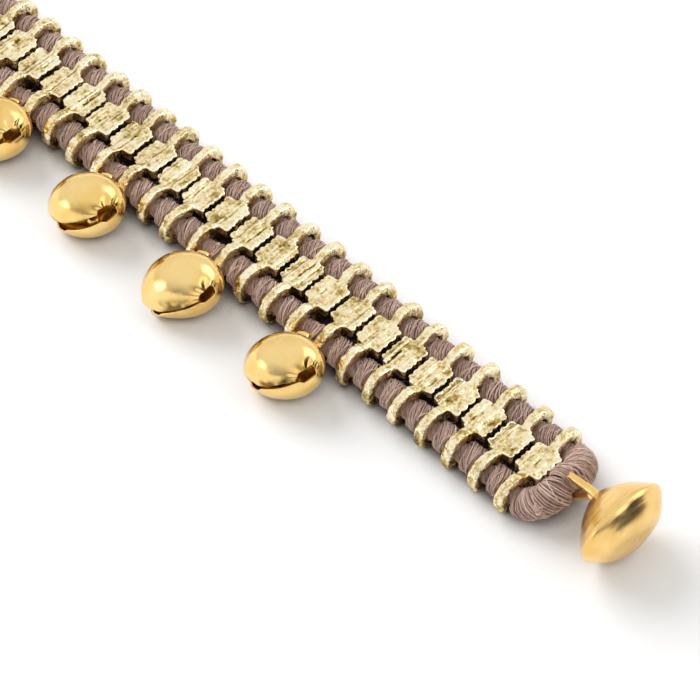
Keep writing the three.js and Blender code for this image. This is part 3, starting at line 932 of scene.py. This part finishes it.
def closedCurve(points, steps):              # a smooth closed curve through the points
    count = len(points)
    spans = np.linspace(0, count, steps, endpoint=False)
    i = spans.astype(int)
    t = (spans - i)[:, None]
    a, b, c, d = (points[(i + k) % count] for k in (-1, 0, 1, 2))
    square = 2 * a - 5 * b + 4 * c - d
    cube = 3 * b - a - 3 * c + d
    return 0.5 * (2 * b + (c - a) * t + square * t ** 2 + cube * t ** 3)


tie = {
    "thread": 0.17, "laps": 2, "lapGap": 0.34, "throughEye": 0.72, "round": 1.62, "wrapFrom": 70, "wrapTo": 320,
    "knotAside": 0.15, "knotIn": 0.5, "knotSize": 0.26, "knotLoops": 3, "seed": 500,
}


def makeTie(number, along):                  # thread through the eye and round the cord
    draw = np.random.default_rng(tie["seed"] + number)
    peak = jointPoint(f"bell_{number}_swing")
    middle = np.array((peak[0], cordY["near_cord"], cordZ))
    lean = math.atan2(peak[2] - middle[2], middle[1] - peak[1])
    parts = []
    for lap in range(tie["laps"]):
        slip = (lap - 0.5) * tie["lapGap"]
        raised = (0, 0, slip * 0.4)
        route = [peak + along * tie["throughEye"] * share + raised for share in (1, 0.5, -0.5, -1)]
        route.append(route[-1] + (0, -0.05, -1.05 - 0.1 * lap))              # down beside the cord
        for angle in np.linspace(tie["wrapFrom"], tie["wrapTo"], 7):
            turn = math.pi - lean + math.radians(angle)
            x = -tie["throughEye"] * math.cos(math.radians(angle / 2)) + slip
            route.append(middle + (x, tie["round"] * math.cos(turn), tie["round"] * math.sin(turn)))
        points, faces = tube(closedCurve(np.array(route), steps=70), tie["thread"], sides=7, loop=True)
        parts.append((points, faces, draw.uniform(0.35, 0.6)))
    knot = middle + (tie["knotAside"], tie["knotIn"], tie["round"])
    parts += knotParts(knot, tie["knotSize"], draw, tie["knotLoops"])
    piece = threadPiece(f"bell_{number}_thread_tie", parts)
    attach(piece, joints[f"bell_{number}_swing"]["parent"])
    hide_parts(f"bell_{number}_tie")


def makeBell(number):
    centre = jointPoint(f"pellet_{number}_roll")
    toEye = unit(jointAxis(f"pellet_{number}_roll"))
    along = -unit(jointAxis(f"bell_{number}_swing"))
    roll = math.radians(bell["slitRoll"])
    under = np.cross(toEye, along)
    slitWay = along * math.cos(roll) + under * math.sin(roll)
    axes = np.stack([slitWay, np.cross(toEye, slitWay), toEye])
    makeShell(number, centre, axes)
    makeEye(number, centre, along, toEye)
    makePellet(number)
    makeTie(number, along)


for number in bellNumbers:
    makeBell(number)
print("bells made:", len(bellNumbers))


# button
button = {
    "radius": 6.75, "back": 4.6, "front": 3.5, "seat": 1.2, "around": 128,
    "reach": 9.4, "tilt": 9, "lift": 0.05, "rimDrop": 0.05, "flatRadius": 1.2,
    "backCone": [(4.0, -3.15), (5.95, -1.05)], "frontCone": [(6.5, 0.6), (4.7, 2.55), (2.8, 3.25)],
    "softness": [0, 0.8, 1.7, 0.9, 0.6, 0.6, 0.9, 0.8, 0.6, 0], "fileWay": (0.89, 0.456), "fileMarks": 1.3,
    "face": (2.3, 3.1), "filedSide": (0.9, 1.8),
    "wire": 0.56, "spread": 0.58, "loop": 1.95, "stubs": (-0.5, 0.25, 0.7),
}


def roundedProfile(points, softness, steps):  # a profile with its inner corners rounded off
    curve = [np.array(points[0])]
    for i in range(1, len(points) - 1):
        before, corner, after = (np.array(points[i + k], float) for k in (-1, 0, 1))
        start = corner + unit(before - corner) * min(softness[i], np.linalg.norm(before - corner) * 0.48)
        end = corner + unit(after - corner) * min(softness[i], np.linalg.norm(after - corner) * 0.48)
        for t in np.linspace(0, 1, steps):
            curve.append(start * (1 - t) ** 2 + 2 * corner * t * (1 - t) + end * t ** 2)
    curve.append(np.array(points[-1]))
    dense = []
    for a, b in zip(curve[:-1], curve[1:]):
        pieces = max(1, int(np.linalg.norm(b - a) / 0.16))
        dense += [a + (b - a) * k / pieces for k in range(pieces)]
    return np.array(dense + [curve[-1]])


across = -unit(jointAxis("button_tilt"))
ahead = np.cross(across, (0, 0, 1))
tilt = math.radians(button["tilt"])
outward = ahead * math.cos(tilt) - np.array((0, 0, 1)) * math.sin(tilt)
upright = np.cross(outward, across)
headCentre = pivot + ahead * button["reach"]
headCentre[2] = button["radius"] * math.cos(tilt) + button["lift"]


def makeHead():                              # two cones turned in one piece, with a filed face
    back, front, nearAxis = -button["back"], button["front"], 0.02
    corners = [(nearAxis, back), (button["seat"], back)] + button["backCone"]
    corners += [(button["radius"], -button["rimDrop"])] + button["frontCone"]
    corners += [(button["flatRadius"], front), (nearAxis, front)]
    profile = roundedProfile(corners, button["softness"], steps=6)
    lap = fullTurn(button["around"])
    out, height = profile[:, :1], np.repeat(profile[:, 1:], len(lap), 1)
    local = np.stack([out * np.cos(lap), out * np.sin(lap), height], 2).reshape(-1, 3)
    x, y, z = local.T
    radius = np.hypot(x, y)
    inFront = smoothStep(*button["face"], z)
    filed = np.maximum(inFront, smoothStep(*button["filedSide"], z) * smoothStep(0.5, -1.5, y))
    fileX, fileY = button["fileWay"]
    fileAlong = x * fileX + y * fileY
    fileAcross = y * fileX - x * fileY
    lines = np.stack([fileAcross * 3.2, fileAlong * 0.22, z * 0.2], 1)
    streaks = rumple(lines, 1.0, 3) * 0.05 + rumple(lines * (2.4, 1, 1), 1.0, 4) * 0.035
    dents = 0.05 * rumple(local, 3.6, 1) + 0.018 * rumple(local, 1.5, 2)
    turnedLines = np.stack([z * 2.6, np.arctan2(y, x) * 0.6, radius * 0], 1)
    rimLines = 0.03 * rumple(turnedLines, 1.0, 6) * (1 - inFront)
    normal = local * (0.6, 0.6, 1.0)
    normal = normal / np.maximum(np.linalg.norm(normal, axis=1), 1e-6)[:, None]
    offset = dents + button["fileMarks"] * filed * streaks + rimLines
    local = local + normal * (offset * smoothStep(0, 0.5, radius))[:, None]
    points = headCentre + local[:, :1] * across + local[:, 1:2] * upright + local[:, 2:] * outward
    points[:, 2] = np.maximum(points[:, 2], 0.0)
    piece = makePiece("button_dome", points, loftFaces(len(profile), len(lap)), "satin_brass", hollow=True)
    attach(piece, "button")
    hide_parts("button_head")


def makeShank():                             # a wire from the button, round the turn and back
    def leg(side, stub):
        return headCentre - outward * (button["back"] + stub) + upright * side * button["spread"]

    def touch(side):                         # the angle at which a leg meets the loop
        end = leg(side, 0.9) - pivot
        a, b = end @ ahead, end[2]
        return math.atan2(b, a) + side * math.acos(button["loop"] / math.hypot(a, b))

    def onLoop(angle):
        out, up = button["loop"] * math.cos(angle), button["loop"] * math.sin(angle)
        return pivot + ahead * out + np.array((0, 0, up))

    loop = [onLoop(angle) for angle in np.linspace(touch(1), touch(-1) + 2 * math.pi, 40)]
    out = [leg(1, stub) for stub in button["stubs"]]
    back = [leg(-1, stub) for stub in reversed(button["stubs"])]
    route = np.array(out + loop + back)
    run = distanceAlong(route)
    route = readAlong(np.linspace(0, run[-1], 110), run, route)
    for _ in range(4):                       # the bends of the wire are soft
        route[1:-1] = (route[:-2] + 2 * route[1:-1] + route[2:]) / 4
    sides = 18
    points, faces = tube(route, button["wire"] * 0.98, sides)
    middle = np.repeat(route, sides, 0)
    points = middle + (points - middle) * (1 + 0.05 * rumple(points, 0.8, 9))[:, None]
    piece = makePiece("button_wire_shank", points, faces, "satin_brass", hollow=True)
    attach(piece, "button")
    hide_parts("button_shank")


makeHead()
makeShank()
print("button turned")


# floor, light and camera
studio = {                                   # in metres, but for shadeReach
    "floorSize": 6.0, "paper": (0.88, 0.88, 0.88, 1), "deepShade": (0.03, 0.016, 0.01, 1), "floorGlow": 0.05,
    "farGlow": 0.36, "farFrom": 0.3, "farFull": 1.5, "shadeReach": 10.0, "shaded": 0.14, "open": 0.42,
    "sky": 0.74, "aim": (0.03, 0, 0), "lampSize": 0.8,
    "lamps": {"key": ((-0.78, -0.02, 0.72), 9.0), "fill": ((0.75, 0.55, 0.70), 1.0)},
}
mirrored = {                                 # the room, as metal mirrors it
    "dimSide": (0.85, -0.5, 0.0), "brightWall": 0.86, "dimWall": 0.30, "ceiling": 0.94,
    "boxes": (                               # direction, where it starts, where it is full, its level there
        ((-0.50, -0.865, -0.02), 0.965, 0.99, 2.0),
        ((0.33, 0.75, 0.57), 0.88, 0.97, 1.4),
        ((0.82, -0.02, 0.56), 0.93, 0.985, 0.8),
    ),
    "openings": (((0.90, 0.40, 0.14), 0.84, 0.95, 0.04), ((0.96, -0.12, 0.12), 0.85, 0.95, 0.06)),
}


def makeFloor():
    half = studio["floorSize"] / 2
    mesh = bpy.data.meshes.new("floor")
    corners = [(-half, -half, 0), (half, -half, 0), (half, half, 0), (-half, half, 0)]
    mesh.from_pydata(corners, [], [(0, 1, 2, 3)])
    floor = bpy.data.objects.new("floor", mesh)
    scene.collection.objects.link(floor)
    material, wire = newFinish("paperFloor")
    seen = wire.ray("Camera") + wire.ray("Glossy") + wire.ray("Transmission")
    reach = {"Distance": studio["shadeReach"] * mm}
    openness = wire.node("ShaderNodeAmbientOcclusion", {"samples": 8}, reach, "AO")
    openness = openness.ranged(studio["shaded"], studio["open"], 0, 1)
    colour = openness.blend(studio["deepShade"], studio["paper"])            # dark in the gaps under the links
    paper = wire.node("ShaderNodeBsdfDiffuse", None, {"Color": colour})
    out = wire.node("ShaderNodeVectorMath", {"operation": "LENGTH"}, {0: wire.place()}, "Value")
    far = out.ranged(studio["farFrom"], studio["farFull"], 0, 1)             # the lamps don't reach far out
    level = seen * (openness * studio["floorGlow"] + far * studio["farGlow"])
    glow = wire.node("ShaderNodeEmission", None, {"Color": (1, 1, 1, 1), "Strength": level})
    both = wire.node("ShaderNodeAddShader", None, {0: paper, 1: glow})
    wire.node("ShaderNodeOutputMaterial", None, {"Surface": both})
    mesh.materials.append(material)


def makeWorld():
    world = bpy.data.worlds.new("studio")
    scene.world = world
    world.use_nodes = True
    world.node_tree.nodes.clear()
    wire = Wire(world.node_tree)
    camera = wire.ray("Camera")
    mirror = wire.ray("Glossy") + wire.ray("Transmission")
    way = wire.node("ShaderNodeTexCoord", output="Generated")
    height = wire.node("ShaderNodeSeparateXYZ", None, {0: way}, "Z")

    def towards(direction):
        settings = {"operation": "DOT_PRODUCT"}
        return wire.node("ShaderNodeVectorMath", settings, {0: way, 1: direction}, "Value")

    low = towards(mirrored["dimSide"]).ranged(-0.2, 0.7, mirrored["brightWall"], mirrored["dimWall"])
    shade = low + (mirrored["ceiling"] - low) * height.ranged(-0.05, 0.7, 0, 1)
    for direction, start, full, level in mirrored["openings"]:           # dark openings of the room
        shade = shade * towards(direction).ranged(start, full, 1.0, level)
    for direction, start, full, level in mirrored["boxes"]:              # bright boxes
        shade = shade + towards(direction).ranged(start, full, 0, level)
    level = camera + mirror * shade + (1 - camera) * (1 - mirror) * studio["sky"]
    sky = wire.node("ShaderNodeBackground", None, {"Color": (1, 1, 1, 1), "Strength": level})
    wire.node("ShaderNodeOutputWorld", None, {"Surface": sky})


def makeLamp(name, place, power):            # metal mirrors the studio instead of the bare lamps
    lamp = bpy.data.lights.new(name, "AREA")
    lamp.energy = power
    lamp.size = studio["lampSize"]
    holder = bpy.data.objects.new(name, lamp)
    holder.location = place
    holder.rotation_euler = (Vector(studio["aim"]) - Vector(place)).to_track_quat("-Z", "Y").to_euler()
    holder.visible_glossy = False
    scene.collection.objects.link(holder)


cameraView = {
    "azimuth": 47.2, "elevation": 54.0, "roll": 2.4, "distance": 440, "pixelsPerMm": 7.6, "image": 700,
    "sensor": 36, "fromEnd": 30.89, "aside": 3.325,
}


def makeCamera():
    azimuth, elevation, roll = (math.radians(cameraView[key]) for key in ("azimuth", "elevation", "roll"))
    aim = np.array((linkX[0] - cameraView["fromEnd"], bandY - cameraView["aside"], cordZ))
    right = np.array((math.cos(azimuth), math.sin(azimuth), 0))
    flatLook = np.array((-math.sin(azimuth), math.cos(azimuth), 0))
    look = flatLook * math.cos(elevation) - np.array((0, 0, 1)) * math.sin(elevation)
    up = np.cross(right, look)
    rolledRight = right * math.cos(roll) - up * math.sin(roll)
    rolledUp = right * math.sin(roll) + up * math.cos(roll)
    lens = bpy.data.cameras.new("camera")
    lens.sensor_width = cameraView["sensor"]
    magnified = cameraView["pixelsPerMm"] * cameraView["distance"] / cameraView["image"]
    lens.lens = magnified * cameraView["sensor"]
    lens.clip_start = 0.01
    holder = bpy.data.objects.new("camera", lens)
    place = (aim - look * cameraView["distance"]) * mm
    turned = Matrix((rolledRight, rolledUp, -look)).transposed().to_4x4()
    holder.matrix_world = Matrix.Translation(Vector(place)) @ turned
    scene.collection.objects.link(holder)
    scene.camera = holder


makeFloor()
makeWorld()
for name, (place, power) in studio["lamps"].items():
    makeLamp(name, place, power)
makeCamera()
scene.view_settings.view_transform = "Standard"
print("studio set")
